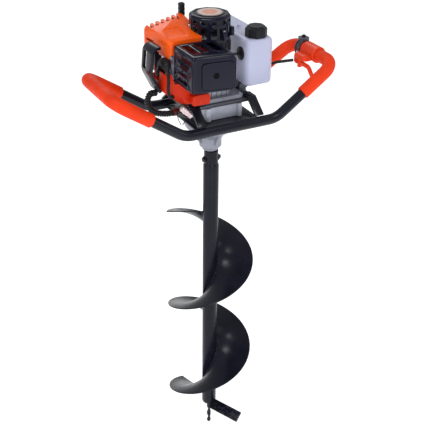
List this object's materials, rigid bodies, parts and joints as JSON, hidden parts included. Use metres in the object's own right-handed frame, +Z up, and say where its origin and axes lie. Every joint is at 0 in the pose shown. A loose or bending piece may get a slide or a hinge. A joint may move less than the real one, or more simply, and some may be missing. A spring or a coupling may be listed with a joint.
{
  "type": "ice fishing auger",
  "caption": "Engine-driven helical auger for ice and soil, with a looped two-hand tubular handle, reduction gearbox, side fuel tank, recoil starter and muffler guard.",
  "frame": {"origin": "on the bit axis at the tip of the pilot point", "axes": "+Z up the bit axis, +X along the handle towards the throttle grip, +Y away from the muffler"},
  "size_m": [0.5376, 0.2917, 1.091],
  "materials": {
    "orange_plastic": "moulded, semi-gloss",
    "orange_dark_plastic": "moulded, semi-gloss",
    "grip_foam": "soft foam",
    "frame_paint": "gloss black paint",
    "plate_paint": "satin black paint",
    "bit_paint": "gloss black paint",
    "black_plastic": "matt moulded",
    "gloss_black_plastic": "gloss moulded",
    "black_rubber": "smooth rubber",
    "cast_alloy": "die cast, blasted",
    "bright_steel": "machined",
    "dark_steel": "oiled",
    "muffler_steel": "heat stained",
    "tank_plastic": "translucent natural",
    "badge_print": "printed disc",
    "lever_brass": "satin",
    "ceramic": "glazed"
  },
  "bodies": {
    "frame": {"gearbox_lower": "cast_alloy", "output_bearing": "bright_steel", "gearbox_upper": "cast_alloy", "handle_tube": "frame_paint", "grip_left": "grip_foam", "grip_right": "grip_foam", "mounting_plate": "plate_paint", "strap_front_left": "frame_paint", "strap_back_left": "frame_paint", "strap_front_right": "frame_paint", "strap_back_right": "frame_paint", "engine_flange": "dark_steel", "crankcase": "cast_alloy", "cylinder": "cast_alloy", "spark_plug": "ceramic", "plug_cap_and_lead": "black_rubber", "carburettor": "cast_alloy", "filter_base": "black_plastic", "filter_cover": "black_plastic", "muffler_guard": "gloss_black_plastic", "guard_front_cover": "gloss_black_plastic", "muffler": "muffler_steel", "engine_shroud": "orange_plastic", "lower_shroud": "orange_dark_plastic", "plug_guard_loop": "frame_paint", "fan_housing": "black_plastic", "recoil_housing": "gloss_black_plastic", "recoil_badge": "badge_print", "starter_rope": "black_plastic", "fuel_tank": "tank_plastic", "tank_grommet": "black_rubber", "fuel_hose": "black_rubber", "throttle_housing": "orange_plastic", "stop_switch_clamp": "dark_steel", "throttle_cable": "black_rubber", "stop_switch_lead": "black_rubber", "wiring_conduit": "black_plastic"},
    "auger": {"auger_shaft": "bit_paint", "auger_flight": "bit_paint", "pilot_point": "bright_steel", "cutter_blade": "bit_paint", "drive_pin_bolt": "bit_paint", "output_shaft": "bright_steel", "output_gear": "dark_steel"},
    "idler": {"idler_gear": "dark_steel"},
    "drum": {"clutch_drum": "bright_steel"},
    "crank": {"crankshaft": "bright_steel", "clutch_shoes": "dark_steel", "flywheel_fan": "cast_alloy"},
    "piston_group": {"piston": "cast_alloy", "connecting_rod": "bright_steel"},
    "pulley": {"starter_pulley": "black_plastic"},
    "pull": {"starter_handle": "black_plastic"},
    "trigger": {"throttle_trigger": "orange_dark_plastic"},
    "carb_lever": {"throttle_lever": "lever_brass"},
    "choke": {"choke_lever": "orange_plastic"},
    "primer": {"primer_bulb": "tank_plastic"},
    "stop_button": {"stop_switch_button": "orange_dark_plastic"},
    "cap_stage": {"fuel_cap_seal": "black_rubber"},
    "cap": {"fuel_cap": "black_plastic"}
  },
  "joints": [
    {"name": "auger_spin", "type": "hinge", "parent": "frame", "child": "auger", "pos_m": [0, 0, 0.8], "axis": [0, 0, 1], "continuous": true},
    {"name": "idler_spin", "type": "hinge", "parent": "frame", "child": "idler", "pos_m": [-0.003, 0.02884, 0.85], "axis": [0, 0, 1], "continuous": true},
    {"name": "drum_spin", "type": "hinge", "parent": "frame", "child": "drum", "pos_m": [-0.006, 0, 0.86], "axis": [0, 0, 1], "continuous": true},
    {"name": "crank_spin", "type": "hinge", "parent": "frame", "child": "crank", "pos_m": [-0.006, 0, 0.95], "axis": [0, 0, 1], "continuous": true},
    {"name": "piston_slide", "type": "slide", "parent": "frame", "child": "piston_group", "axis": [1, 0, 0], "range_m": [0, 0.03]},
    {"name": "starter_pull", "type": "slide", "parent": "frame", "child": "pull", "axis": [0, 1, 0], "range_m": [0, 0.6], "stiffness_N_per_m": 12, "springref_m": -0.15},
    {"name": "pulley_spin", "type": "hinge", "parent": "frame", "child": "pulley", "pos_m": [-0.006, 0, 1.056], "axis": [0, 0, 1], "range_deg": [-1150, 0]},
    {"name": "throttle_squeeze", "type": "hinge", "parent": "frame", "child": "trigger", "pos_m": [0.222, 0.005, 0.94], "axis": [0, 0, 1], "range_deg": [0, 18], "stiffness_Nm_per_rad": 0.4, "springref_deg": -11.46},
    {"name": "carb_lever_turn", "type": "hinge", "parent": "frame", "child": "carb_lever", "pos_m": [-0.057, 0.058, 0.99], "axis": [0, 0, -1], "range_deg": [0, 63.5]},
    {"name": "choke_turn", "type": "hinge", "parent": "frame", "child": "choke", "pos_m": [-0.029, 0.077, 1], "axis": [-1, 0, 0], "range_deg": [0, 70]},
    {"name": "primer_press", "type": "slide", "parent": "frame", "child": "primer", "axis": [0, 0, 1], "range_m": [0, 0.004], "stiffness_N_per_m": 500, "springref_m": -0.001},
    {"name": "stop_press", "type": "slide", "parent": "frame", "child": "stop_button", "axis": [0, 0, -1], "range_m": [0, 0.0025], "stiffness_N_per_m": 600, "springref_m": -0.001},
    {"name": "cap_lift", "type": "slide", "parent": "frame", "child": "cap_stage", "axis": [0, 0, 1], "range_m": [0, 0.0046]},
    {"name": "cap_turn", "type": "hinge", "parent": "cap_stage", "child": "cap", "pos_m": [0.096, -0.014, 1.035], "axis": [0, 0, 1], "range_deg": [0, 540]}
  ],
  "couplings": [
    {"joint": "idler_spin", "follows": "auger_spin", "ratio": -3.8333},
    {"joint": "drum_spin", "follows": "auger_spin", "ratio": 14.694},
    {"joint": "pulley_spin", "follows": "starter_pull", "rad_per_m": -33.333},
    {"joint": "carb_lever_turn", "follows": "throttle_squeeze", "ratio": 3.5},
    {"joint": "cap_lift", "follows": "cap_turn", "m_per_rad": 0.000477}
  ]
}
